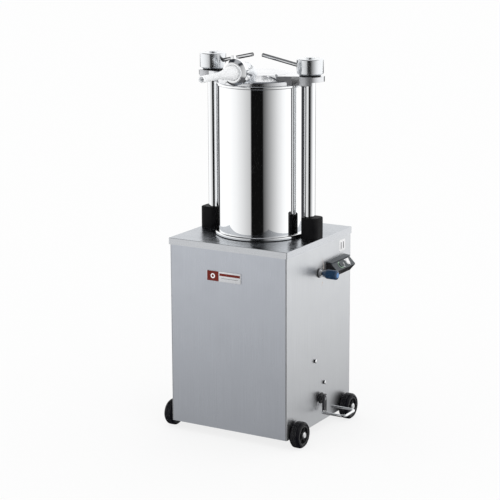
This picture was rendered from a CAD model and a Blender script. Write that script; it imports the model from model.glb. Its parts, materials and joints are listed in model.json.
import json
from math import cos, pi, radians, sin, sqrt, tan

import bmesh
import bpy
from mathutils import Matrix, Vector


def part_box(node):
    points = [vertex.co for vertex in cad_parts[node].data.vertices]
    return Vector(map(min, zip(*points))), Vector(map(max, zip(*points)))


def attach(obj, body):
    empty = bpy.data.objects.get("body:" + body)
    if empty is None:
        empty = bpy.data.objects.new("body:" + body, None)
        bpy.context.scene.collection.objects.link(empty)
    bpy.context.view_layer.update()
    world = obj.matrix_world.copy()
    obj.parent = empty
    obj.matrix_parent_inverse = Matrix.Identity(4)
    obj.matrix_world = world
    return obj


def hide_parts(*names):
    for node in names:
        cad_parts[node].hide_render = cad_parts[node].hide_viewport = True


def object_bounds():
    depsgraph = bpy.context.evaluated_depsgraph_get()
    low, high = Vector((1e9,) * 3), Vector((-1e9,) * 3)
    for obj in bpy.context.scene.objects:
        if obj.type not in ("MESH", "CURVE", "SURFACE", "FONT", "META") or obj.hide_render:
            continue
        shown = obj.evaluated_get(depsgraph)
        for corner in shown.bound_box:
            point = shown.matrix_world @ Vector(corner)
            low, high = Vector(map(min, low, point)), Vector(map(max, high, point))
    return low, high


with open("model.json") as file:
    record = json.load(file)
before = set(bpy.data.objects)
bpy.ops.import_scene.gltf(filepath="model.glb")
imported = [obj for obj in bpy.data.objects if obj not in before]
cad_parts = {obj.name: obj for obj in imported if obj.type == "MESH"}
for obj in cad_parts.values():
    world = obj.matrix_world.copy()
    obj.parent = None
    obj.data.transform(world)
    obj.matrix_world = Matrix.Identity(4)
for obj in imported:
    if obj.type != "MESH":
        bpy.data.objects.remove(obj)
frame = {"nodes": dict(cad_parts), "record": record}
cad_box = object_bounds()

# Looks of a floor-standing hydraulic sausage stuffer, metres, in the row frame:
# +X is the side with the controls, -Y the front, +Z up, the origin is the cabinet's underside.

MM = 0.001
SIDE_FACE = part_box("right_side_panel")[1].x
RECORD = frame["record"]
BODY_OF = {n: b for b, nodes in RECORD["behaviour"]["bodies"].items() for n in nodes}
SLOT_OF = {part["node"]: part["material_slot"] for part in RECORD["subparts"]}

AROUND_BIG = 192           # facets round the meat cylinder and its ring
AROUND = 96                # facets round knobs, wheels and columns
AROUND_SMALL = 40          # facets round rods and screws
AROUND_TINY = 24           # facets round screw heads, the pedal's bar and printed dots
CREASE = 32.0              # degrees: a sharper edge is shaded as an edge
MERGE = 0.002 * MM         # points closer than this are one point

UP = (0, 0, 1)
RIGHT = (1, 0, 0)          # outwards on the control side
REAR = (0, 1, 0)
FRONT = (0, -1, 0)
SIDES = ("left", "right")
CORNERS = ("front_left", "front_right", "rear_left", "rear_right")


# ---- node graphs --------------------------------------------------------------------
class Graph:
    """Short calls that add nodes to a material's or world's tree and join them."""

    def __init__(self, tree):
        self.tree = tree

    def node(self, kind, inputs=None, **settings):
        made = self.tree.nodes.new(kind)
        for key, value in settings.items():
            setattr(made, key, value)
        for key, value in (inputs or {}).items():
            self.feed(made.inputs[key], value)
        return made

    def feed(self, socket, value):
        if isinstance(value, bpy.types.NodeSocket):
            self.tree.links.new(value, socket)
        else:
            socket.default_value = value

    def maths(self, operation, a, b=0.0):
        return self.node("ShaderNodeMath", {0: a, 1: b}, operation=operation).outputs[0]

    def span(self, value, low, high, out_low, out_high, smooth=False):
        """value, carried from the range low..high to the range out_low..out_high."""
        kind = "SMOOTHSTEP" if smooth else "LINEAR"
        inputs = {"Value": value, "From Min": low, "From Max": high,
                  "To Min": out_low, "To Max": out_high}
        return self.node("ShaderNodeMapRange", inputs, interpolation_type=kind).outputs[0]

    def blend(self, factor, a, b):
        made = self.node("ShaderNodeMix", data_type="RGBA", blend_type="MIX")
        self.feed(made.inputs["Factor"], factor)
        self.feed(made.inputs[6], a)
        self.feed(made.inputs[7], b)
        return made.outputs[2]

    def place(self, stretch=(1, 1, 1)):
        """Object coordinates in metres, stretched along each axis."""
        coords = self.node("ShaderNodeTexCoord").outputs["Object"]
        inputs = {0: coords, 1: stretch}
        return self.node("ShaderNodeVectorMath", inputs, operation="MULTIPLY").outputs[0]

    def noise(self, scale, stretch=(1, 1, 1), detail=3.0):
        inputs = {"Vector": self.place(stretch), "Scale": scale, "Detail": detail}
        return self.node("ShaderNodeTexNoise", inputs).outputs["Fac"]

    def bump(self, height, strength, distance, normal=None):
        inputs = {"Height": height, "Strength": strength, "Distance": distance}
        if normal is not None:
            inputs["Normal"] = normal
        return self.node("ShaderNodeBump", inputs).outputs["Normal"]

    def edges(self, width):
        """1 on edges and corners within width, 0 on open faces."""
        soft = self.node("ShaderNodeBevel", {"Radius": width}, samples=4).outputs[0]
        true = self.node("ShaderNodeNewGeometry").outputs["Normal"]
        likeness = self.node("ShaderNodeVectorMath", {0: soft, 1: true}, operation="DOT_PRODUCT")
        return self.span(likeness.outputs["Value"], 0.97, 0.80, 0.0, 1.0)


def surface(name, **inputs):
    """A new material's graph, with its principled shader's plain values set."""
    material = bpy.data.materials.new(name)
    material.use_nodes = True
    graph = Graph(material.node_tree)
    graph.material = material
    graph.shader = material.node_tree.nodes["Principled BSDF"]
    set_inputs(graph, inputs)
    return graph


def set_inputs(graph, inputs):
    names = {"colour": "Base Color", "metal": "Metallic", "rough": "Roughness",
             "coat": "Coat Weight", "coat_rough": "Coat Roughness", "normal": "Normal",
             "grain": "Anisotropic", "turn": "Anisotropic Rotation", "glow": "Subsurface Weight",
             "glow_scale": "Subsurface Scale", "glow_radius": "Subsurface Radius",
             "specular": "Specular IOR Level"}
    for key, value in inputs.items():
        graph.feed(graph.shader.inputs[names[key]], value)


def rgb(r, g, b):
    return (r, g, b, 1.0)


def shaded(colour, share):
    return tuple(c * share for c in colour[:3]) + (1.0,)


# ---- materials ----------------------------------------------------------------------
def brushed_sheet(name, colour, rough, along, grain=0.5, top=None):
    """Sheet steel brushed along one axis: fine lines, slow stains and soft smudges.
    top is the colour of upward faces where it differs."""
    stretch = tuple(5.0 if axis == along else 900.0 for axis in "xyz")
    g = surface(name, metal=1.0, grain=grain)
    lines = g.noise(1.0, stretch, detail=5.0)
    coarse = g.noise(0.25, stretch, detail=2.0)
    stains = g.noise(5.0, detail=4.0)
    smudges = g.noise(14.0, detail=5.0)
    tone = g.blend(g.span(lines, 0.3, 0.7, 0.0, 1.0), shaded(colour, 0.93), shaded(colour, 1.05))
    if top:
        facing = g.node("ShaderNodeNewGeometry").outputs["True Normal"]
        up = g.node("ShaderNodeSeparateXYZ", {0: facing}).outputs[2]
        tone = g.blend(g.span(up, 0.5, 0.9, 0.0, 1.0), tone, top)
    tone = g.blend(g.span(stains, 0.35, 0.7, 0.0, 0.10), tone, shaded(colour, 0.8))
    wear = g.maths("ADD", g.span(lines, 0.3, 0.7, -0.04, 0.05),
                   g.span(smudges, 0.45, 0.75, 0.0, 0.06))
    normal = g.bump(g.maths("ADD", lines, coarse), 0.10, 0.0001)
    set_inputs(g, {"colour": tone, "rough": g.maths("ADD", wear, rough), "normal": normal})
    return g.material


def polished_metal(name, colour, rough, lines_along=(4.0, 4.0, 1400.0), wave=0.02, rim=0.0):
    """Bright polished metal: faint polishing lines, slight waviness and finger marks.
    rim darkens what is seen at a slant."""
    g = surface(name, metal=1.0)
    lines = g.noise(1.0, lines_along, detail=4.0)
    waves = g.noise(9.0, detail=2.0)
    marks = g.noise(30.0, detail=6.0)
    film = g.span(marks, 0.50, 0.78, 0.0, 1.0)
    tone = g.blend(g.maths("MULTIPLY", film, 0.10), colour, shaded(colour, 0.86))
    facing = g.node("ShaderNodeLayerWeight", {"Blend": 0.5}).outputs["Facing"]
    tone = g.blend(g.span(facing, 0.12, 0.45, 0.0, rim), tone, rgb(0.02, 0.02, 0.022))
    roughness = g.maths("ADD", g.maths("MULTIPLY", film, 0.05), g.span(lines, 0.3, 0.7, 0.0, 0.02))
    normal = g.bump(lines, 0.02, 0.0001, g.bump(waves, wave, 0.004))
    set_inputs(g, {"colour": tone, "rough": g.maths("ADD", roughness, rough), "normal": normal})
    return g.material


def cast_metal(name, colour, rough, grain_size=700.0, depth=0.25, metal=1.0):
    """Cast or machined metal with a fine pitted grain and slow colour drift."""
    g = surface(name, metal=metal)
    pits = g.noise(grain_size, detail=6.0)
    drift = g.noise(12.0, detail=3.0)
    tone = g.blend(g.span(drift, 0.3, 0.7, 0.0, 1.0), shaded(colour, 0.88), shaded(colour, 1.06))
    roughness = g.maths("ADD", g.span(pits, 0.3, 0.7, -0.05, 0.08), rough)
    normal = g.bump(pits, depth, 0.0003)
    set_inputs(g, {"colour": tone, "rough": roughness, "normal": normal})
    return g.material


def paint(name, colour, rough, under=rgb(0.45, 0.45, 0.46), coat=0.35, worn=0.0012, shine=0.5):
    """Semi-gloss enamel with orange peel, rubbed through a little on its edges."""
    g = surface(name, coat=coat, coat_rough=0.25, specular=shine)
    peel = g.noise(260.0, detail=2.0)
    drift = g.noise(9.0, detail=4.0)
    chips = g.maths("MULTIPLY", g.edges(worn), g.span(g.noise(180.0), 0.52, 0.62, 0.0, 1.0))
    tone = g.blend(g.span(drift, 0.3, 0.7, 0.0, 1.0), shaded(colour, 0.85), shaded(colour, 1.12))
    tone = g.blend(chips, tone, under)
    set_inputs(g, {"colour": tone, "rough": g.span(drift, 0.3, 0.7, rough - 0.05, rough + 0.07),
                   "normal": g.bump(peel, 0.08, 0.0004), "metal": chips})
    return g.material


def rubber(name, colour, rough, dust=0.10, shine=0.2, rim=0.18):
    """Dull black rubber with a moulded grain and a trace of pale dust."""
    g = surface(name, specular=shine)
    grain = g.noise(1500.0, detail=3.0)
    patches = g.noise(28.0, detail=5.0)
    film = g.span(patches, 0.50, 0.80, 0.0, dust)
    tone = g.blend(film, colour, rgb(0.30, 0.29, 0.27))
    tone = g.blend(g.maths("MULTIPLY", g.edges(0.0015), rim), tone, rgb(0.16, 0.16, 0.16))
    set_inputs(g, {"colour": tone, "rough": g.span(patches, 0.3, 0.7, rough - 0.06, rough + 0.1),
                   "normal": g.bump(grain, 0.22, 0.0002)})
    return g.material


def plastic(name, colour, rough, depth=0.10, glow=0.0, coat=0.0):
    """Moulded plastic with a fine spark-eroded grain and scuffed edges."""
    g = surface(name, glow=glow, glow_scale=0.01, glow_radius=(1, 1, 1), coat=coat,
                coat_rough=0.12)
    grain = g.noise(900.0, detail=2.0)
    drift = g.noise(16.0, detail=4.0)
    tone = g.blend(g.span(drift, 0.3, 0.7, 0.0, 1.0), shaded(colour, 0.93), shaded(colour, 1.05))
    pale = tuple(min(1.0, 0.6 * c + 0.12) for c in colour[:3]) + (1.0,)
    tone = g.blend(g.maths("MULTIPLY", g.edges(0.0008), 0.25), tone, pale)
    set_inputs(g, {"colour": tone, "rough": g.span(drift, 0.3, 0.7, rough - 0.04, rough + 0.06),
                   "normal": g.bump(grain, depth, 0.0002)})
    return g.material


FINISH = {
    "brushed_stainless": brushed_sheet("satin_sheet", rgb(0.60, 0.615, 0.64), 0.30, "z"),
    "front_sheet": brushed_sheet("satin_front", rgb(0.56, 0.585, 0.635), 0.30, "z"),
    "control_sheet": brushed_sheet("satin_control_side", rgb(0.72, 0.735, 0.755), 0.38, "z"),
    "cover_sheet": brushed_sheet("satin_cover", rgb(0.62, 0.635, 0.66), 0.25, "x", 0.2,
                                 rgb(0.45, 0.475, 0.51)),
    "ear_casting": cast_metal("ear_casting", rgb(0.60, 0.61, 0.63), 0.44, 300.0, 0.06),
    "polished_stainless": polished_metal("mirror_steel", rgb(0.93, 0.94, 0.95), 0.02),
    "satin_outlet": polished_metal("satin_outlet", rgb(0.86, 0.88, 0.90), 0.24),
    "turned_stainless": polished_metal("turned_steel", rgb(0.80, 0.82, 0.84), 0.18,
                                       (6.0, 6.0, 2200.0), 0.0),
    "chrome_rod": polished_metal("chrome", rgb(0.90, 0.91, 0.92), 0.05, (900.0, 900.0, 5.0), 0.0),
    "lever_rod": polished_metal("lever_steel", rgb(0.90, 0.91, 0.92), 0.10, rim=1.0),
    "lid_metal": cast_metal("lid_casting", rgb(0.80, 0.81, 0.83), 0.16, 300.0, 0.03),
    "plain_steel": cast_metal("machined_steel", rgb(0.42, 0.43, 0.45), 0.34, 500.0, 0.10),
    "painted_steel": paint("grey_enamel", rgb(0.20, 0.22, 0.25), 0.40),
    "aluminium": polished_metal("turned_aluminium", rgb(0.80, 0.81, 0.82), 0.22),
    "motor_blue": paint("motor_enamel", rgb(0.03, 0.07, 0.18), 0.38),
    "cast_iron": cast_metal("cast_iron", rgb(0.12, 0.12, 0.125), 0.55, 900.0, 0.6, 0.6),
    "black_plastic": plastic("black_plastic", rgb(0.012, 0.012, 0.014), 0.38, depth=0.18),
    "dark_grey_plastic": plastic("grey_plastic", rgb(0.055, 0.065, 0.075), 0.42, depth=0.25),
    "black_rubber": rubber("boot_rubber", rgb(0.005, 0.005, 0.006), 0.5, 0.02, 0.1, 0.1),
    "tyre_rubber": rubber("tyre_rubber", rgb(0.003, 0.003, 0.005), 0.16, 0.04, 0.12, 0.7),
    "white_plastic": plastic("white_plastic", rgb(0.95, 0.965, 0.98), 0.30, glow=0.2, coat=0.3),
    "blue_plastic": plastic("blue_plastic", rgb(0.005, 0.034, 0.085), 0.26, coat=0.3),
    "light_blue": plastic("light_blue", rgb(0.07, 0.22, 0.50), 0.30),
    "green_button": plastic("green_legend", rgb(0.42, 0.62, 0.44), 0.35),
    "grey_button": plastic("grey_legend", rgb(0.62, 0.64, 0.68), 0.30),
    "plate_metal": brushed_sheet("etched_plate", rgb(0.80, 0.81, 0.83), 0.28, "x"),
    "black_arm": paint("black_arm", rgb(0.02, 0.02, 0.024), 0.30, rgb(0.6, 0.6, 0.62), 0.2, 0.003),
    "red_enamel": paint("red_enamel", rgb(0.150, 0.018, 0.011), 0.45, rgb(0.35, 0.14, 0.11),
                        coat=0.0, worn=0.0003, shine=0.12),
    "pale_print": plastic("pale_print", rgb(0.93, 0.93, 0.94), 0.45),
    "beige_print": plastic("beige_print", rgb(0.66, 0.58, 0.53), 0.45),
    "dark_print": plastic("dark_print", rgb(0.10, 0.10, 0.11), 0.45),
}


# ---- mesh building ------------------------------------------------------------------
def finished_mesh(name, bm):
    """Merges doubled points, turns faces outwards and marks the sharp edges."""
    bmesh.ops.remove_doubles(bm, verts=bm.verts, dist=MERGE)
    bmesh.ops.recalc_face_normals(bm, faces=bm.faces)
    for face in bm.faces:
        face.smooth = True
    for edge in bm.edges:
        edge.smooth = edge.calc_face_angle(0.0) < radians(CREASE)
    mesh = bpy.data.meshes.new(name)
    bm.to_mesh(mesh)
    bm.free()
    return mesh


def skin(bm, rings, loop=False):
    """Quads between successive rings of equally many points; without a loop, capped."""
    rows = [[bm.verts.new(point) for point in ring] for ring in rings]
    pairs = list(zip(rows, rows[1:]))
    if loop:
        pairs.append((rows[-1], rows[0]))
    for low, high in pairs:
        for i in range(len(low)):
            j = (i + 1) % len(low)
            bm.faces.new((low[i], low[j], high[j], high[i]))
    if not loop:
        bm.faces.new(rows[0])
        bm.faces.new(rows[-1])


def pointing(at, direction, across=None):
    """Matrix that carries local +Z to direction, and local +X to across if it is given."""
    z = Vector(direction).normalized()
    if across is None:
        turn = z.to_track_quat("Z", "Y").to_matrix()
    else:
        x = Vector(across).normalized()
        turn = Matrix((x, z.cross(x), z)).transposed()
    return Matrix.Translation(at) @ turn.to_4x4()


def rounded(corners, closed=False, steps=5):
    """Outline points from (a, b, radius) corners, with each radius as an arc."""
    points = []
    count = len(corners)
    for i, (a, b, r) in enumerate(corners):
        corner = Vector((a, b, 0.0))
        if r == 0 or (not closed and i in (0, count - 1)):
            points.append((a, b))
            continue
        before = Vector(corners[i - 1][:2] + (0.0,)) - corner
        after = Vector(corners[(i + 1) % count][:2] + (0.0,)) - corner
        half = before.angle(after) / 2
        u, v = before.normalized(), after.normalized()
        centre = corner + (u + v).normalized() * (r / sin(half))
        start = (corner + u * (r / tan(half)) - centre).normalized()
        end = (corner + v * (r / tan(half)) - centre).normalized()
        for k in range(steps + 1):
            point = centre + start.slerp(end, k / steps) * r
            points.append((point.x, point.y))
    return points


def turned(outline, place=Matrix.Identity(4), around=AROUND):
    """Rings of a lathe shape about local Z from (radius, height) points."""
    angles = [2 * pi * k / around for k in range(around)]
    return [[place @ Vector((r * cos(a), r * sin(a), h)) for a in angles] for r, h in outline]


def rectangle(w, d, r):
    """Rounded rectangle outline, centred, w by d."""
    r = max(r, 0.05 * MM)
    corners = [(-w / 2, -d / 2, r), (w / 2, -d / 2, r), (w / 2, d / 2, r), (-w / 2, d / 2, r)]
    return rounded(corners, closed=True, steps=6)


def slab(w, d, t, corner, edge, place, both=False):
    """Rings of a plate in local XY, thickness t along +Z, its top edge rounded."""
    steps = 4
    rise = [(edge * (1 - cos(a)), t - edge + edge * sin(a))
            for a in (radians(90 * k / steps) for k in range(steps + 1))]
    profile = [(0.0, 0.0)] + rise
    if both:
        profile = [(inset, t - height) for inset, height in reversed(rise)] + rise
    return [[place @ Vector((x, y, height))
             for x, y in rectangle(w - 2 * inset, d - 2 * inset, corner - inset)]
            for inset, height in profile]


def swept(path, r, around):
    """Rings of a round bar along a path of points."""
    rings = []
    side = None
    for i, point in enumerate(path):
        before = path[max(i - 1, 0)]
        after = path[min(i + 1, len(path) - 1)]
        ahead = (after - before).normalized()
        if side is None:
            side = ahead.orthogonal().normalized()
        side = (side - ahead * side.dot(ahead)).normalized()
        other = ahead.cross(side)
        rings.append([point + (side * cos(a) + other * sin(a)) * r
                      for a in (2 * pi * k / around for k in range(around))])
    return rings


def add(name, shape, finish, body="chassis", loop=False, node=None):
    """Puts a piece into the scene, from a bmesh or from rings, to ride on a body. If it
    stands for a CAD node, it takes that node's place."""
    if not isinstance(shape, bmesh.types.BMesh):
        rings, shape = shape, bmesh.new()
        skin(shape, rings, loop)
    mesh = finished_mesh(name, shape)
    mesh.materials.append(FINISH[finish])
    piece = bpy.data.objects.new(name, mesh)
    bpy.context.scene.collection.objects.link(piece)
    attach(piece, body)
    if node:
        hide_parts(node)


def stand_for(node, shape, finish=None, loop=False):
    """The shape takes the place of one CAD node, on its body and in its material slot."""
    slot = SLOT_OF[node]
    add("visual_" + node, shape, finish or slot, BODY_OF[node], loop, node)


def middle(node):
    low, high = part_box(node)
    return (low + high) / 2


# ---- meat cylinder, base ring, columns and boots ------------------------------------
def meat_cylinder():
    """Open polished cylinder with a rolled rim."""
    low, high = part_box("meat_cylinder")
    rim = high.x
    wall = rim - 4 * MM
    bore = rim - 7 * MM
    rim_foot = high.z - 8 * MM
    rim_round = 3 * MM
    outline = rounded([
        (bore, low.z, 0), (wall, low.z, 0), (wall, rim_foot - 1.5 * MM, 0.8 * MM),
        (rim, rim_foot, 1.5 * MM), (rim, high.z, rim_round), (bore, high.z, rim_round)],
        closed=True)
    stand_for("meat_cylinder", turned(outline, around=AROUND_BIG), loop=True)


def base_ring():
    """Polished locating ring with a round shoulder, just clear of the cylinder's wall."""
    low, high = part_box("cylinder_base_ring")
    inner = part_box("meat_cylinder")[1].x - 3.9 * MM
    outline = rounded([
        (inner, low.z, 0), (high.x, low.z, 0.6 * MM), (high.x, high.z, 5 * MM),
        (inner, high.z, 0.6 * MM)], closed=True, steps=8)
    stand_for("cylinder_base_ring", turned(outline, around=AROUND_BIG), loop=True)


def gasket():
    """Flat ring under the cylinder."""
    low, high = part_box("cylinder_gasket")
    inner = high.x - 13 * MM
    outline = rounded([(inner, low.z, 0), (high.x, low.z, 0.7 * MM), (high.x, high.z, 0.7 * MM),
                       (inner, high.z, 0)], closed=True)
    stand_for("cylinder_gasket", turned(outline, around=AROUND_BIG), loop=True)


def column(node):
    """Tie column with its turned shoulder and the stud above it."""
    low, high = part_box(node)
    x = middle(node).x
    r = (high.x - low.x) / 2
    stud = r - 5.5 * MM
    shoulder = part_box("lid")[1].z - 18.2 * MM        # just under the lid's ear
    outline = rounded([
        (0, low.z, 0), (stud, low.z, 1 * MM), (stud, low.z + 20 * MM, 0),
        (r, low.z + 36 * MM, 0.5 * MM), (r, shoulder, 1.2 * MM), (stud, shoulder, 0),
        (stud, high.z, 1.5 * MM), (0, high.z, 0)])
    place = Matrix.Translation((x, 0, 0))
    stand_for(node, turned(outline, place))


def boot(node, column_node):
    """Black rubber sleeve: rounded rectangular plan, soft top edge, bore for the column."""
    low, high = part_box(node)
    mid = middle(node)
    column_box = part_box(column_node)
    clearance = 0.15 * MM
    bore = (column_box[1].x - column_box[0].x) / 2 + clearance
    size = high - low
    hub = Vector((middle(column_node).x, 0, 0))
    corner = 17 * MM
    soft = 3.5 * MM
    rings = slab(size.x, size.y, size.z, corner, soft, Matrix.Translation((mid.x, mid.y, low.z)))
    outer = rings[-1]

    def collar(r, z):
        ways = [Vector((p.x - hub.x, p.y - hub.y, 0)).normalized() for p in outer]
        return [Vector((hub.x + w.x * r, hub.y + w.y * r, z)) for w in ways]

    rings += [collar(bore + 2.5 * MM, high.z), collar(bore + 0.8 * MM, high.z - 0.4 * MM),
              collar(bore, high.z - 1.4 * MM), collar(bore, low.z)]
    stand_for(node, rings, loop=True)


# ---- clamp knobs --------------------------------------------------------------------
def knob(node):
    """Turned clamp knob: bevelled foot, rounded shoulder and a low boss on top."""
    low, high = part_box(node)
    mid = middle(node)
    r = (high.x - low.x) / 2
    top = high.z - 4 * MM
    boss = 12.5 * MM
    bore = 12.2 * MM
    outline = rounded([
        (bore, low.z, 0), (r - 4 * MM, low.z, 0.8 * MM), (r, low.z + 4 * MM, 1.5 * MM),
        (r, top, 3.2 * MM), (boss + 5 * MM, top, 1 * MM), (boss + 4 * MM, top - 0.7 * MM, 0),
        (boss, top - 0.7 * MM, 0), (boss, high.z, 1.4 * MM), (4 * MM, high.z, 0.5 * MM),
        (0, high.z - 1.2 * MM, 0)])
    place = Matrix.Translation((mid.x, mid.y, 0))
    stand_for(node, turned(outline, place), "turned_stainless")


def washer(node):
    """Thrust washer with one groove round it."""
    low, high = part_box(node)
    mid = middle(node)
    r = (high.x - low.x) / 2
    bore = 12.4 * MM
    waist = (low.z + high.z) / 2
    outline = rounded([
        (bore, low.z, 0), (r, low.z, 1 * MM), (r, waist - 1 * MM, 0.5 * MM),
        (r - 2 * MM, waist, 0.5 * MM), (r, waist + 1 * MM, 0.5 * MM), (r, high.z, 1 * MM),
        (bore, high.z, 0)], closed=True)
    place = Matrix.Translation((mid.x, mid.y, 0))
    stand_for(node, turned(outline, place), loop=True)


def lever(node, knob_node):
    """Rising handle rod, from inside the knob to its chamfered tip."""
    low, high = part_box(node)
    side = 1.0 if middle(node).x > 0 else -1.0
    r = 6 * MM
    rise = radians(12.7)
    turn = radians(7.0)
    flat = Vector((-side * cos(turn), -sin(turn), 0))
    direction = flat * cos(rise) + Vector((0, 0, sin(rise)))
    column_at = middle(knob_node)
    inside = 25                                      # mm, column's axis to the rod's root
    bevel = 1.4 * MM
    start = Vector((column_at.x, column_at.y, 0)) + flat * inside * MM
    start.z = low.z + r * cos(rise) + 0.3 * MM
    length = (high.z - low.z - 2 * r * cos(rise)) / sin(rise)
    outline = rounded([
        (0, 0, 0), (r, 0, 0.5 * MM), (r, length - bevel, 0.6 * MM),
        (r - bevel, length, 0.5 * MM), (0, length, 0)])
    rod = turned(outline, pointing(start, direction), AROUND_SMALL)
    stand_for(node, rod, "lever_rod")


# ---- outlet, union nut and filling horn ---------------------------------------------
OUTLET_Z = middle("filling_horn").z
FORWARDS = pointing((0, 0, OUTLET_Z), FRONT, RIGHT)      # local Z runs out of the spout


def union_nut():
    """Union nut with a broad bevel in front, an inner lip and three lugs."""
    low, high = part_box("horn_nut")
    back = -high.y
    front = -low.y
    r = 41 * MM
    thread_r = 35.1 * MM
    mouth_r = 24 * MM
    lip = 5.7 * MM                                   # the front wall that holds the horn
    outline = rounded([
        (thread_r, back, 0), (r - 1 * MM, back, 1 * MM), (r, back + 2 * MM, 1 * MM),
        (r, front - 12 * MM, 1.5 * MM), (r - 9 * MM, front - 2 * MM, 1 * MM),
        (r - 10 * MM, front - 2 * MM, 0.5 * MM), (r - 10.5 * MM, front, 0.5 * MM),
        (mouth_r, front, 1 * MM), (mouth_r, front - lip, 0),
        (thread_r, front - lip, 0)], closed=True)
    bm = bmesh.new()
    skin(bm, turned(outline, FORWARDS), loop=True)
    for k in range(3):                               # lugs
        turn = radians(120 * k + 100)
        out = Vector((cos(turn), sin(turn), 0))
        at = out * (r + 3 * MM) + Vector((0, 0, back + 4 * MM))
        local = pointing(at, UP, out)
        skin(bm, slab(14 * MM, 12 * MM, front - back - 17 * MM, 4 * MM, 1.2 * MM,
                      FORWARDS @ local, both=True))
    stand_for("horn_nut", bm)


def horn():
    """Moulded horn: clamped flange, short collar, cone and straight tube, open in front."""
    low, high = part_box("filling_horn")
    face = -high.y
    tip = -low.y
    mouth = 21 * MM
    flange = 34 * MM
    flange_front = face + 5.4 * MM
    collar = 23.4 * MM
    foot = face + 12 * MM
    neck = face + 62 * MM
    neck_r = 14.5 * MM
    straight = face + 88 * MM
    r = 10.5 * MM
    wall = 2.2 * MM
    outline = rounded([
        (mouth, face, 0), (flange, face, 0.5 * MM), (flange, flange_front, 0.5 * MM),
        (collar, flange_front, 0.5 * MM), (collar, foot, 3 * MM),
        (neck_r, neck, 20 * MM), (r, straight, 30 * MM), (r, tip, 0.9 * MM),
        (r - wall, tip, 0.9 * MM), (r - wall, straight, 0), (neck_r - wall, neck, 0),
        (mouth, face + 6 * MM, 0)], closed=True)
    stand_for("filling_horn", turned(outline, FORWARDS), loop=True)


def outlet():
    """Bent outlet pipe from the lid's dome to the threaded collar inside the nut."""
    mouth = -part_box("outlet_spout")[0].y             # how far in front of the axis it ends
    r = 26 * MM
    bore = 21 * MM
    bend = 40 * MM
    start = -105 * MM
    foot_y = start + bend
    foot_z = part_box("lid")[1].z - 14 * MM
    path = [Vector((0, -mouth, OUTLET_Z)), Vector((0, start - 1 * MM, OUTLET_Z))]
    steps = 12
    for k in range(steps + 1):
        a = radians(90 * k / steps)
        path.append(Vector((0, start + bend * sin(a), OUTLET_Z - bend * (1 - cos(a)))))
    path.append(Vector((0, foot_y, foot_z)))
    outer = swept(path, r, AROUND)
    inner = swept(path, bore, AROUND)
    bm = bmesh.new()
    skin(bm, outer + inner[::-1], loop=True)
    collar_r = 34.8 * MM
    collar_back = mouth - 18 * MM
    collar = rounded([
        (r - 1 * MM, collar_back, 0), (collar_r, collar_back, 1 * MM),
        (collar_r, mouth, 1 * MM), (r - 1 * MM, mouth, 0)], closed=True)
    skin(bm, turned(collar, FORWARDS), loop=True)
    stand_for("outlet_spout", bm, "satin_outlet")


def ear_skirts():
    """Cast walls along the front of the lid's two ears, full depth beside the columns."""
    low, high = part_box("lid")
    eye_x = middle("right_column").x
    top = high.z - 0.6 * MM
    wall = 5 * MM
    eye = 46.5 * MM
    plan = [(85 * MM, -60 * MM), (92 * MM, -66 * MM), (98 * MM, -71 * MM)]
    rise = {0: 4.5 * MM, 1: 2.5 * MM}                # the inner end stands above the ear
    for degrees in (-110, -102, -94, -86, -78, -70, -62, -56):
        a = radians(degrees)
        plan.append((eye_x + eye * cos(a), eye * sin(a)))
    bm = bmesh.new()
    for side in (1, -1):
        rings = []
        for i, (x, y) in enumerate(plan):
            before = Vector(plan[max(i - 1, 0)])
            after = Vector(plan[min(i + 1, len(plan) - 1)])
            along = (after - before).normalized()
            inward = Vector((-along.y, along.x)) * wall
            crest = top + rise.get(i, 0.0)
            section = [(0.0, low.z + 1.5 * MM), (0.0, crest - 1.2 * MM), (0.1, crest - 0.4 * MM),
                       (0.3, crest), (1.0, crest), (1.0, low.z + 0.6 * MM), (0.3, low.z + 0.6 * MM)]
            rings.append([Vector((side * (x + inward.x * t), y + inward.y * t, z))
                          for t, z in section])
        skin(bm, rings)
    add("ear_skirts", bm, "ear_casting", "lid")


# ---- wheels -------------------------------------------------------------------------
def tyre(node):
    """Solid tyre: domed shoulders, three tread grooves and a sunk line round each side."""
    low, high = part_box(node)
    mid = middle(node)
    half = (high.x - low.x) / 2
    r = (high.z - low.z) / 2
    hub = 30 * MM
    groove = 1.4 * MM
    side = [(hub, half - 1.2 * MM, 0), (hub + 1.6 * MM, half, 0.5 * MM),
            (hub + 3 * MM, half, 0.4 * MM), (hub + 3.8 * MM, half - 1 * MM, 0.3 * MM),
            (hub + 4.8 * MM, half, 0.4 * MM), (r - 6 * MM, half, 1.5 * MM),
            (r - 0.6 * MM, half - 6 * MM, 4 * MM)]
    outline = list(side)
    for x in (6 * MM, 0.0, -6 * MM):
        outline += [(r, x + 1.2 * MM, 0.4 * MM), (r - groove, x + 0.6 * MM, 0.3 * MM),
                    (r - groove, x - 0.6 * MM, 0.3 * MM), (r, x - 1.2 * MM, 0.4 * MM)]
    outline += [(a, -b, c) for a, b, c in reversed(side)]
    place = pointing(mid, RIGHT, UP)
    stand_for(node, turned(rounded(outline, closed=True, steps=3), place), loop=True)


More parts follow.
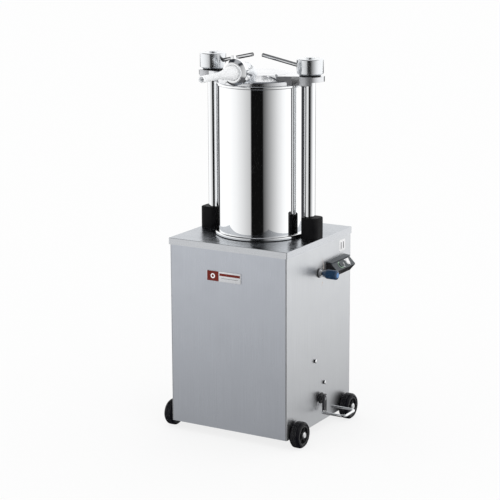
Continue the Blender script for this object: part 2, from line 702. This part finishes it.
def hub(node):
    """Moulded hub: rim, dished web with five ribs and a boss."""
    low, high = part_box(node)
    mid = middle(node)
    half = (high.x - low.x) / 2
    r = (high.z - low.z) / 2
    bore = 6.1 * MM
    boss = 12.5 * MM
    rim = r - 4 * MM
    web = half - 9 * MM
    outline = rounded([
        (bore, -half, 0), (boss, -half, 1 * MM), (boss + 1 * MM, -web, 1 * MM),
        (rim, -web, 2 * MM), (rim, -half, 0.8 * MM), (r, -half, 0.8 * MM), (r, half, 0.8 * MM),
        (rim, half, 0.8 * MM), (rim, web, 2 * MM), (boss + 1 * MM, web, 1 * MM),
        (boss, half, 1 * MM), (bore, half, 0)], closed=True, steps=3)
    place = pointing(mid, RIGHT, UP)
    bm = bmesh.new()
    skin(bm, turned(outline, place), loop=True)
    ribs = 5
    rib_r = 18.8 * MM                                # from the axle to a rib's middle
    sunk = 2 * MM
    for k in range(ribs):
        a = radians(360 / ribs * k + 54)
        at = Vector((rib_r * cos(a), rib_r * sin(a), 0))
        rib = pointing(at, UP, at) @ Matrix.Translation((0, 0, sunk - half))
        skin(bm, slab(12 * MM, 2.6 * MM, 2 * (half - sunk), 1.2 * MM, 0.8 * MM,
                      place @ rib, both=True))
    stand_for(node, bm)


def axle_caps():
    """Domed chrome caps over the four axle ends."""
    bm = bmesh.new()
    for corner in CORNERS:
        low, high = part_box("tyre_" + corner)
        mid = (low + high) / 2
        side = 1.0 if mid.x > 0 else -1.0
        face = high.x if side > 0 else low.x
        start = Vector((face - side * 0.8 * MM, mid.y, mid.z))
        r = 10.2 * MM
        outline = rounded([(0, 0, 0), (r, 0, 0), (r, 1.6 * MM, 0.7 * MM),
                           (6.4 * MM, 4.2 * MM, 3 * MM), (0, 4.3 * MM, 0)])
        skin(bm, turned(outline, pointing(start, (side, 0, 0)), AROUND_SMALL))
    add("axle_caps", bm, "chrome_rod")


# ---- pedal, flow valve and control box ----------------------------------------------
def pedal():
    """Chrome stirrup of bent bar with a free rear end, black clamped arm and its screw."""
    low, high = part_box("pedal_lever")
    bar = 4.25 * MM
    near, far = low.x + bar, high.x - bar
    front, rear = low.y + bar, high.y - bar
    bend = 14 * MM
    corners = [(near, 0, 0), (near, front, 9 * MM), (far, front, bend), (far, rear, bend),
               (near - 1.5 * MM, rear, 0)]
    path = [Vector((x, y, low.z + bar)) for x, y in rounded(corners, steps=8)]
    rings = swept(path, bar, AROUND_TINY)
    end = path[-1]
    for shrink, step in ((0.8, 0.5 * MM), (0.4, 0.9 * MM)):      # the bar's domed free end
        rings.append([end + (point - end) * shrink - Vector((step, 0, 0)) for point in rings[-1]])
        end = end - Vector((step, 0, 0))
    stand_for("pedal_lever", rings)
    arm_low = low.x + 0.25 * MM
    arm_t = 8 * MM
    place = pointing((arm_low, 0, (low.z + high.z) / 2), RIGHT, UP)
    arm = slab(high.z - low.z, 18 * MM, arm_t, 5 * MM, 1 * MM, place, both=True)
    add("pedal_arm", arm, "black_arm", "pedal")
    screw_z = middle("pedal_bush").z + 9 * MM
    screw = pointing((arm_low + arm_t - 0.4 * MM, 0, screw_z), RIGHT)
    add("pedal_screw", socket_screw(3.6 * MM, 4 * MM, screw), "chrome_rod", "pedal")


def socket_screw(r, h, place):
    """Domed screw head with a sunk round socket."""
    outline = rounded([(0, 0, 0), (r, 0, 0), (r, 0.5 * h, 0.3 * h), (0.7 * r, h, 0.3 * h),
                       (0.42 * r, h, 0.1 * h), (0.36 * r, 0.35 * h, 0), (0, 0.3 * h, 0)])
    return turned(outline, place, AROUND_TINY)


def pedal_bush():
    """Bush of the pedal's shaft, with a domed flange outside the sheet."""
    low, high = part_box("pedal_bush")
    r = (high.z - low.z) / 2
    bore = 8.1 * MM
    mid = middle("pedal_bush")
    outline = rounded([
        (bore, low.x, 0), (r - 2 * MM, low.x, 0.5 * MM), (r - 2 * MM, SIDE_FACE, 0),
        (r, SIDE_FACE, 0.6 * MM), (r, high.x - 1 * MM, 3 * MM), (r - 5 * MM, high.x, 1 * MM),
        (bore, high.x, 0.5 * MM)], closed=True)
    place = pointing((0, mid.y, mid.z), RIGHT, UP)
    stand_for("pedal_bush", turned(outline, place), loop=True)


def flow_collar():
    """Black sealing ring and chrome locknut of the flow valve, on the outside of the panel."""
    mid = middle("flow_knob")
    place = pointing((0, mid.y, mid.z), RIGHT, UP)
    bore = 5.2 * MM                                  # round the valve's stem
    seal_r = 15 * MM
    seal_top = SIDE_FACE + 3 * MM
    seal = rounded([(bore, SIDE_FACE, 0), (seal_r, SIDE_FACE, 0.5 * MM), (seal_r, seal_top, 1 * MM),
                    (bore, seal_top, 0)], closed=True)
    add("flow_seal", turned(seal, place), "black_plastic", loop=True)
    nut_r = 13 * MM
    nut_low = SIDE_FACE + 2.8 * MM
    neck_r = 9 * MM
    neck_top = SIDE_FACE + 11 * MM
    nut = rounded([(bore, nut_low, 0), (nut_r, nut_low, 0.5 * MM),
                   (nut_r, SIDE_FACE + 6.5 * MM, 1 * MM), (neck_r, SIDE_FACE + 7 * MM, 0.5 * MM),
                   (neck_r, neck_top, 0.8 * MM), (bore, neck_top, 0)], closed=True)
    add("flow_collar", turned(nut, place), "chrome_rod", loop=True)


def flow_knob():
    """Blue handle: tapered foot, lightly fluted grip and a domed end."""
    low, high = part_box("flow_knob")
    r = (high.z - low.z) / 2
    mid = middle("flow_knob")
    length = high.x - low.x
    outline = rounded([
        (5.1 * MM, 0, 0), (8 * MM, 0, 0.8 * MM), (10.5 * MM, 5 * MM, 2 * MM),
        (r, 16 * MM, 3 * MM), (r, length - 5 * MM, 1 * MM), (r - 1 * MM, length - 4 * MM, 0.8 * MM),
        (r - 1.2 * MM, length - 2 * MM, 1.5 * MM), (r - 6 * MM, length, 4 * MM), (0, length, 0),
        (0, 17 * MM, 0), (5.1 * MM, 17 * MM, 0)], closed=True, steps=6)
    place = pointing((low.x, mid.y, mid.z), RIGHT, UP)
    flutes = 24
    flute_depth = 0.35 * MM
    grip_low, grip_high, grip_r = 15 * MM, length - 4 * MM, 12 * MM
    around = AROUND * 2
    rings = []
    for radius, height in outline:
        on_grip = grip_low < height < grip_high and radius > grip_r
        depth = flute_depth if on_grip else 0
        ring = []
        for k in range(around):
            a = 2 * pi * k / around
            cut = radius - depth * (0.5 + 0.5 * cos(flutes * a))
            ring.append(place @ Vector((cut * cos(a), cut * sin(a), height)))
        rings.append(ring)
    stand_for("flow_knob", rings, loop=True)
    cap_at = place @ Matrix.Translation((0, 0, length - 0.6 * MM))
    cap = rounded([(0, 0, 0), (8.4 * MM, 0, 0), (8.4 * MM, 1.2 * MM, 0.5 * MM),
                   (5 * MM, 1.5 * MM, 1 * MM), (0, 1.5 * MM, 0)])
    add("flow_cap", turned(cap, cap_at), "light_blue", "flow_control")


PANEL_TILT = Vector((1, 0, 1)).normalized()


def control_box():
    """Black wedge-shaped box with a grained hood strip and a sloped operating plate.
    Returns the middle of the plate's face."""
    low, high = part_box("control_box")
    body_y = (low.y + 1.5 * MM, high.y - 1.5 * MM)
    slope_top = Vector((high.x - 23 * MM, 0, low.z + 45 * MM))
    slope_low = Vector((high.x, 0, low.z + 22 * MM))
    profile = [Vector((SIDE_FACE, 0, low.z)), Vector((SIDE_FACE, 0, low.z + 47 * MM)),
               slope_top, slope_low, Vector((high.x - 19 * MM, 0, low.z))]
    bm = bmesh.new()
    for y in body_y:
        bm.faces.new([bm.verts.new(p + Vector((0, y, 0))) for p in profile])
    count = len(profile)
    near, far = list(bm.verts)[:count], list(bm.verts)[count:]
    for i in range(count):
        j = (i + 1) % count
        bm.faces.new((near[i], near[j], far[j], far[i]))
    bmesh.ops.bevel(bm, geom=list(bm.edges), offset=1.2 * MM, segments=3, affect="EDGES")
    stand_for("control_box", bm, "black_plastic")
    mid_y = (body_y[0] + body_y[1]) / 2
    length = body_y[1] - body_y[0]
    hood_at = Vector((SIDE_FACE + 10 * MM, mid_y, low.z + 47.2 * MM))
    hood = slab(21 * MM, length + 3 * MM, 2.6 * MM, 0.8 * MM, 0.6 * MM,
                pointing(hood_at, (0.09, 0, 1), (1, 0, -0.09)), both=True)
    add("control_hood", hood, "dark_grey_plastic")
    centre = (slope_top + slope_low) / 2 + Vector((0, mid_y, 0))
    plate_place = pointing(centre - PANEL_TILT * 0.6 * MM, PANEL_TILT, REAR)
    plate = slab(length - 1 * MM, 31 * MM, 1.4 * MM, 2 * MM, 0.5 * MM, plate_place)
    add("control_plate", plate, "dark_grey_plastic")
    return centre + PANEL_TILT * 0.8 * MM


def push_button(node, centre, finish):
    """Round cap with a dished face."""
    at = Vector((centre.x, middle(node).y, centre.z))
    r = 8.9 * MM
    foot = -6 * MM
    rim = 3.6 * MM
    outline = rounded([(0, foot, 0), (r, foot, 0), (r, rim, 0.9 * MM),
                       (r - 2.3 * MM, rim, 0.5 * MM), (r - 3.1 * MM, rim - 0.6 * MM, 0.5 * MM),
                       (0, rim - 1 * MM, 0)])
    stand_for(node, turned(outline, pointing(at, PANEL_TILT, REAR)), finish)


def flat_ring(inner, outer, t, place):
    return turned([(inner, 0), (outer, 0), (outer, t), (inner, t)], place)


def legends(centre):
    """Plain marks on the box: a green ring, a white wedge, a short bar and a lamp."""
    up = Vector((-1, 0, 1)).normalized()
    middle_line = Vector((centre.x, 0, centre.z))

    def spot(y, height):
        return middle_line + Vector((0, y, 0)) + up * height

    at = spot(middle("start_button").y, 0)
    print_t = 0.5 * MM
    ring = flat_ring(9.6 * MM, 11.6 * MM, print_t, pointing(at, PANEL_TILT, REAR))
    add("start_ring", ring, "green_button", loop=True)
    stop_y = middle("stop_button").y
    bm = bmesh.new()
    corners = [(-10.0, 12.5), (20.0, 12.5), (4.0, -13.0)]
    clear = 9.3                                      # the wedge keeps off the stop button
    turns = [radians(-77 + 8.8 * i) for i in range(25)]
    bite = [(clear * cos(a), clear * sin(a)) for a in turns]
    points = [spot(stop_y + a * MM, b * MM) for a, b in corners + bite]
    low = [bm.verts.new(p) for p in points]
    high = [bm.verts.new(p + PANEL_TILT * print_t) for p in points]
    bm.faces.new(low)
    bm.faces.new(high)
    for i in range(len(low)):
        j = (i + 1) % len(low)
        bm.faces.new((low[i], low[j], high[j], high[i]))
    add("stop_wedge", bm, "pale_print")
    lamp = spot(stop_y - 32 * MM, -9.5 * MM)
    dome = rounded([(0, 0, 0), (2.2 * MM, 0, 0), (2.2 * MM, 0.6 * MM, 0.3 * MM),
                    (1.2 * MM, 1.4 * MM, 0.5 * MM), (0, 1.5 * MM, 0)])
    lens = turned(dome, pointing(lamp, PANEL_TILT), AROUND_TINY)
    add("lamp", lens, "pale_print")
    bar_at = spot(stop_y - 25 * MM, 0)
    bar = slab(2.6 * MM, 8 * MM, 0.4 * MM, 0.4 * MM, 0.1 * MM,
               pointing(bar_at, PANEL_TILT, REAR))
    add("centre_mark", bar, "pale_print")


# ---- plates and marks on the cabinet ------------------------------------------------
def name_plate():
    """Blank pressed plate: a red field with a plain ring, and a pale part with a red band
    and a thin line."""
    low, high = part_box("nameplate")
    mid_z = (low.z + high.z) / 2
    h = high.z - low.z
    w = high.x - low.x
    split = 43 * MM                                  # where the red field ends
    border = 0.8 * MM
    margin = 3 * MM
    print_y = high.y - 1.4 * MM                      # just inside the plate's face
    plate_at = ((low.x + high.x) / 2, high.y, mid_z)
    plate = slab(w, h, 1.5 * MM, 1.5 * MM, 0.5 * MM, pointing(plate_at, FRONT, RIGHT))
    stand_for("nameplate", plate)
    field_at = (low.x + split / 2 + border, print_y, mid_z)
    field = slab(split - 2 * border, h - 2 * border, 0.45 * MM, 1 * MM, 0.2 * MM,
                 pointing(field_at, FRONT, RIGHT))
    add("plate_field", field, "red_enamel")
    ring_at = (field_at[0], print_y - 0.4 * MM, mid_z)
    ring = flat_ring(4.2 * MM, 7.8 * MM, 0.2 * MM, pointing(ring_at, FRONT, RIGHT))
    add("plate_ring", ring, "pale_print", loop=True)
    band_w = w - split - 2 * margin
    band_x = high.x - band_w / 2 - margin
    band_at = (band_x, print_y, mid_z + 6.5 * MM)
    band = slab(band_w, 8 * MM, 0.3 * MM, 1 * MM, 0.1 * MM, pointing(band_at, FRONT, RIGHT))
    add("plate_band", band, "red_enamel")
    line_at = (band_x, print_y, mid_z - 5 * MM)
    line = slab(band_w - 14 * MM, 1.2 * MM, 0.2 * MM, 0.4 * MM, 0.05 * MM,
                pointing(line_at, FRONT, RIGHT))
    add("plate_line", line, "dark_print")


def side_label():
    """Pale sticker with two plain bars, near the top rear of the control side."""
    at = Vector((SIDE_FACE, 153 * MM, 550 * MM))
    plate = slab(40 * MM, 38 * MM, 0.3 * MM, 5 * MM, 0.1 * MM, pointing(at, RIGHT, REAR))
    add("side_label", plate, "pale_print")
    bm = bmesh.new()
    for y in (-8 * MM, 8 * MM):
        bar = slab(5 * MM, 22 * MM, 0.2 * MM, 2 * MM, 0.05 * MM,
                   pointing(at + Vector((0.25 * MM, y, 0)), RIGHT, REAR))
        skin(bm, bar)
    add("label_bars", bm, "dark_print")


def flow_scale():
    """Two faint printed arcs beside the flow valve's knob, with a dot at each inner end."""
    mid = middle("flow_knob")
    hub_at = Vector((SIDE_FACE, mid.y - 53 * MM, mid.z))
    r = 84 * MM
    raised = Vector((0.15 * MM, 0, 0))
    half_width = 1.6 * MM
    taper = 0.7
    dot_r = 2.6 * MM
    dot_t = 0.2 * MM
    steps = 14
    bm = bmesh.new()
    for inner, outer in ((6.0, 33.0), (-25.0, -34.0)):       # degrees above the hub's level
        rings = []
        for k in range(steps + 1):
            a = radians(inner + (outer - inner) * k / steps)
            half = half_width * (1 - taper * k / steps)
            way = Vector((0, cos(a), sin(a)))
            rings.append([hub_at + way * (r + s * half) + raised * h
                          for s, h in ((-1, 0), (1, 0), (1, 1), (-1, 1))])
        skin(bm, rings)
        a = radians(inner)
        dot_at = hub_at + Vector((0, cos(a), sin(a))) * r
        dot = [(dot_r, 0), (dot_r, dot_t)]
        skin(bm, turned(dot, pointing(dot_at, RIGHT), AROUND_TINY))
    add("flow_scale", bm, "beige_print")


def screw_heads():
    """Domed socket screws on the rear sheet, and two capped studs on the control side."""
    rear_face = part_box("rear_panel")[1].y
    bm = bmesh.new()
    for x in (-198.0, 198.0):
        for z in (90.0, 230.0, 370.0, 530.0):
            place = pointing((x * MM, rear_face, z * MM), REAR)
            skin(bm, socket_screw(4.8 * MM, 2.8 * MM, place))
    add("screw_heads", bm, "chrome_rod")
    collars = bmesh.new()
    caps = bmesh.new()
    r, h = 6 * MM, 4.6 * MM
    cap_r = 6.2 * MM
    cap_foot = h - 0.2 * MM
    collar = rounded([(0, 0, 0), (r, 0, 0), (r, h, 0.6 * MM), (0, h, 0)])
    cap = rounded([(0, 0, 0), (cap_r, 0, 0), (cap_r, 1.4 * MM, 0.6 * MM),
                   (3.6 * MM, 2.6 * MM, 1.5 * MM), (0, 2.7 * MM, 0)])
    for y, z in ((-29.5, 211.0), (33.0, 125.0)):
        foot = Vector((SIDE_FACE, y * MM, z * MM))
        skin(collars, turned(collar, pointing(foot, RIGHT), AROUND_SMALL))
        head = foot + Vector((cap_foot, 0, 0))
        skin(caps, turned(cap, pointing(head, RIGHT), AROUND_SMALL))
    add("stud_collars", collars, "black_plastic")
    add("stud_caps", caps, "chrome_rod")


def louvre(bm, place):
    """Pressed hood over one cooling slot, drawn in local XZ with local +Y outwards."""
    section = [(0.0, 7.0), (2.4, 5.6), (3.8, 2.0), (4.0, -2.6), (3.3, -2.6), (3.0, 1.6),
               (1.8, 4.4), (-0.2, 5.6)]
    reach = 43.0
    steps = 12
    rings = []
    for k in range(steps + 1):
        t = -1 + 2 * k / steps
        swell = sqrt(max(0.0, 1 - t ** 8))
        rings.append([place @ Vector((reach * t * MM, n * swell * MM, (h - 1.5 * (1 - swell)) * MM))
                      for n, h in section])
    skin(bm, rings)


def louvres():
    """Two columns of hoods on the rear sheet, and two on the left sheet."""
    pitch = 16
    bm = bmesh.new()
    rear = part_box("rear_panel")[1].y
    for row in range(8):
        for x in (-60, 60):
            louvre(bm, Matrix.Translation((x * MM, rear, (370 + pitch * row) * MM)))
    add("rear_louvres", bm, "brushed_stainless")
    bm = bmesh.new()
    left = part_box("left_side_panel")[0].x
    turn = Matrix.Rotation(radians(90), 4, "Z")
    for row in range(6):
        for y in (-60, 60):
            at = Matrix.Translation((left, y * MM, (390 + pitch * row) * MM))
            louvre(bm, at @ turn)
    add("left_louvres", bm, "brushed_stainless")


# ---- CAD nodes that stay ------------------------------------------------------------
FINISH_OF = {"top_cover": "cover_sheet", "front_panel": "front_sheet",
             "right_side_panel": "control_sheet"}
EDGE_ROUND = {"lid": 0.8 * MM, "top_cover": 0.0}
USUAL_ROUND = 0.3 * MM


def smoothing_group():
    """Geometry nodes that shade smooth, with an edge kept where faces meet steeply."""
    group = bpy.data.node_groups.new("smooth_by_angle", "GeometryNodeTree")
    group.interface.new_socket("Geometry", in_out="INPUT", socket_type="NodeSocketGeometry")
    group.interface.new_socket("Geometry", in_out="OUTPUT", socket_type="NodeSocketGeometry")
    g = Graph(group)
    start = g.node("NodeGroupInput")
    angle = g.node("GeometryNodeInputMeshEdgeAngle").outputs["Unsigned Angle"]
    gentle = g.node("FunctionNodeCompare", {"A": angle, "B": radians(CREASE)},
                    data_type="FLOAT", operation="LESS_EQUAL").outputs["Result"]
    faces = g.node("GeometryNodeSetShadeSmooth", {"Geometry": start.outputs[0]}, domain="FACE")
    edges = g.node("GeometryNodeSetShadeSmooth", {"Geometry": faces.outputs[0],
                                                  "Shade Smooth": gentle}, domain="EDGE")
    end = g.node("NodeGroupOutput")
    g.feed(end.inputs[0], edges.outputs[0])
    return group


def dress_cad_nodes():
    """Welds, softens the edges of, and finishes each CAD node that is still shown."""
    smooth = smoothing_group()
    for node, obj in frame["nodes"].items():
        if obj.hide_render:
            continue
        finish = FINISH_OF.get(node, SLOT_OF[node])
        obj.data.materials.clear()
        obj.data.materials.append(FINISH[finish])
        weld = obj.modifiers.new("weld", "WELD")
        weld.merge_threshold = 0.005 * MM
        flat = obj.modifiers.new("flat", "DECIMATE")
        flat.decimate_type = "DISSOLVE"
        flat.angle_limit = radians(0.2)
        soft = obj.modifiers.new("soft", "BEVEL")
        soft.width = EDGE_ROUND.get(node, USUAL_ROUND)
        soft.segments = 2
        soft.limit_method = "ANGLE"
        soft.angle_limit = radians(40)
        shade = obj.modifiers.new("shade", "NODES")
        shade.node_group = smooth
        even = obj.modifiers.new("even", "WEIGHTED_NORMAL")
        even.keep_sharp = True


# ---- studio -------------------------------------------------------------------------
# Degrees round from the front towards the controls, and how bright the walls are there.
WALL_STOPS = ((-180, 0.95), (-110, 0.97), (-62, 0.94), (-40, 0.84), (-20, 0.68), (-1, 0.50),
              (2.2, 0.46), (3.8, 0.004), (34.8, 0.004), (36.2, 0.08), (44, 0.20), (54, 0.35),
              (64, 0.50), (76, 0.68), (90, 0.86), (106, 0.97), (180, 1.0))
WALL_GAIN = 1.16


def wall_light(g, way):
    """Brightness of the walls in the compass direction of way."""
    parts = g.node("ShaderNodeSeparateXYZ", {0: way}).outputs
    azimuth = g.maths("ARCTAN2", parts[0], g.maths("MULTIPLY", parts[1], -1.0))
    walls = g.node("ShaderNodeValToRGB", {"Fac": g.span(azimuth, -pi, pi, 0.0, 1.0)})
    ramp = walls.color_ramp
    ramp.elements[0].position = 0.0
    ramp.elements[1].position = 1.0
    for degrees, level in WALL_STOPS:
        place = (degrees + 180) / 360
        ends = {0.0: ramp.elements[0], 1.0: ramp.elements[-1]}
        stop = ends.get(place) or ramp.elements.new(place)
        stop.color = rgb(level, level, level)
    return g.maths("MULTIPLY", walls.outputs["Color"], WALL_GAIN)


def card(g, way, centre, soft, full):
    """1 within the full angle of a compass direction, fading to 0 at the soft angle."""
    flat = g.node("ShaderNodeVectorMath", {0: way, 1: (1, 1, 0)}, operation="MULTIPLY")
    level_way = g.node("ShaderNodeVectorMath", {0: flat.outputs[0]}, operation="NORMALIZE")
    aim = (sin(radians(centre)), -cos(radians(centre)), 0)
    inputs = {0: level_way.outputs[0], 1: aim}
    likeness = g.node("ShaderNodeVectorMath", inputs, operation="DOT_PRODUCT")
    return g.span(likeness.outputs["Value"], cos(radians(soft)), cos(radians(full)),
                  0.0, 1.0, smooth=True)


def past(g, height, start, full):
    """0 up to one elevation in degrees, fading to 1 at the other; height is its sine."""
    return g.span(height, sin(radians(start)), sin(radians(full)), 0.0, 1.0, smooth=True)


def studio():
    """Soft white room. What shines sees its walls, with a tall dark card, a dark ceiling
    round a paler crown, a dim foot and a dim patch behind."""
    world = bpy.data.worlds.new("studio")
    bpy.context.scene.world = world
    world.use_nodes = True
    world.cycles.sampling_method = "NONE"
    g = Graph(world.node_tree)
    background = world.node_tree.nodes["Background"]
    way = g.node("ShaderNodeTexCoord").outputs["Generated"]
    height = g.node("ShaderNodeSeparateXYZ", {0: way}).outputs[2]
    room = wall_light(g, way)
    front_eaves = g.maths("MULTIPLY", past(g, height, 25, 36), card(g, way, -45, 95, 70))
    ceiling = g.maths("MAXIMUM", past(g, height, 42, 56), front_eaves)
    room = g.blend(ceiling, room, rgb(0.035, 0.038, 0.045))
    crown = past(g, height, 62, 74)
    room = g.blend(crown, room, rgb(0.40, 0.41, 0.43))
    foot = past(g, height, -30, -40)
    room = g.blend(foot, room, rgb(0.16, 0.16, 0.17))
    behind = g.maths("MULTIPLY", card(g, way, -154.5, 42, 37), past(g, height, -2, -8))
    room = g.blend(behind, room, rgb(0.05, 0.05, 0.055))
    plain = g.span(height, -1.0, 1.0, 0.75, 1.1)
    rays = g.node("ShaderNodeLightPath").outputs
    seen = g.blend(rays["Is Glossy Ray"], plain, room)
    g.feed(background.inputs["Color"], g.blend(rays["Is Camera Ray"], seen, rgb(1, 1, 1)))


def floor():
    """Pale floor with a soft contact shadow; in reflections it only dims the room nearby."""
    bm = bmesh.new()
    floor_r = 40.0
    bmesh.ops.create_circle(bm, cap_ends=True, radius=floor_r, segments=64)
    mesh = bpy.data.meshes.new("floor")
    bm.to_mesh(mesh)
    bm.free()
    obj = bpy.data.objects.new("floor", mesh)
    obj.location.z = cad_box[0].z
    bpy.context.scene.collection.objects.link(obj)
    g = surface("pale_floor", colour=rgb(0.9, 0.9, 0.9), rough=0.9, specular=0.0)
    mesh.materials.append(g.material)
    lit = g.node("ShaderNodeEmission", {"Color": rgb(1, 1, 1), "Strength": 1.0})
    lit_share = 0.8
    ground = g.node("ShaderNodeMixShader",
                    {0: lit_share, 1: g.shader.outputs[0], 2: lit.outputs[0]})
    away = g.node("ShaderNodeVectorMath", {0: g.place((1, 1, 0))}, operation="LENGTH")
    clearness = g.span(away.outputs["Value"], 0.3, 2.9, 0.55, 1.0)
    veil = g.node("ShaderNodeBsdfTransparent", {"Color": clearness})
    shines = g.node("ShaderNodeLightPath").outputs["Is Glossy Ray"]
    both = g.node("ShaderNodeMixShader", {0: shines, 1: ground.outputs[0], 2: veil.outputs[0]})
    output = g.material.node_tree.nodes["Material Output"]
    g.feed(output.inputs["Surface"], both.outputs[0])


def camera():
    """Camera in front, to the right and a little above, as a long lens sees it."""
    azimuth, elevation, roll = radians(30.43), radians(13.20), radians(-0.25)
    distance = 5.547
    target = Vector((-0.0312, -0.0183, 0.5411))
    back = Vector((sin(azimuth) * cos(elevation), -cos(azimuth) * cos(elevation), sin(elevation)))
    data = bpy.data.cameras.new("camera")
    data.lens = 125.5
    data.sensor_width = 36.0
    obj = bpy.data.objects.new("camera", data)
    look = (-back).to_track_quat("-Z", "Y").to_matrix().to_4x4()
    obj.matrix_world = (Matrix.Translation(target + back * distance) @ look
                        @ Matrix.Rotation(roll, 4, "Z"))
    bpy.context.scene.collection.objects.link(obj)
    bpy.context.scene.camera = obj


# ---- the whole scene ----------------------------------------------------------------
meat_cylinder()
base_ring()
gasket()
for side in SIDES:
    column(side + "_column")
    boot(side + "_boot", side + "_column")
    knob(side + "_knob")
    washer(side + "_washer")
    lever(side + "_lever", side + "_knob")
union_nut()
horn()
outlet()
ear_skirts()
for corner in CORNERS:
    tyre("tyre_" + corner)
    hub("hub_" + corner)
axle_caps()
pedal()
pedal_bush()
flow_collar()
flow_knob()
panel_centre = control_box()
push_button("start_button", panel_centre, "dark_grey_plastic")
push_button("stop_button", panel_centre, "pale_print")
legends(panel_centre)
name_plate()
side_label()
flow_scale()
screw_heads()
louvres()
dress_cad_nodes()
studio()
floor()
camera()
bpy.context.scene.view_settings.view_transform = "Standard"
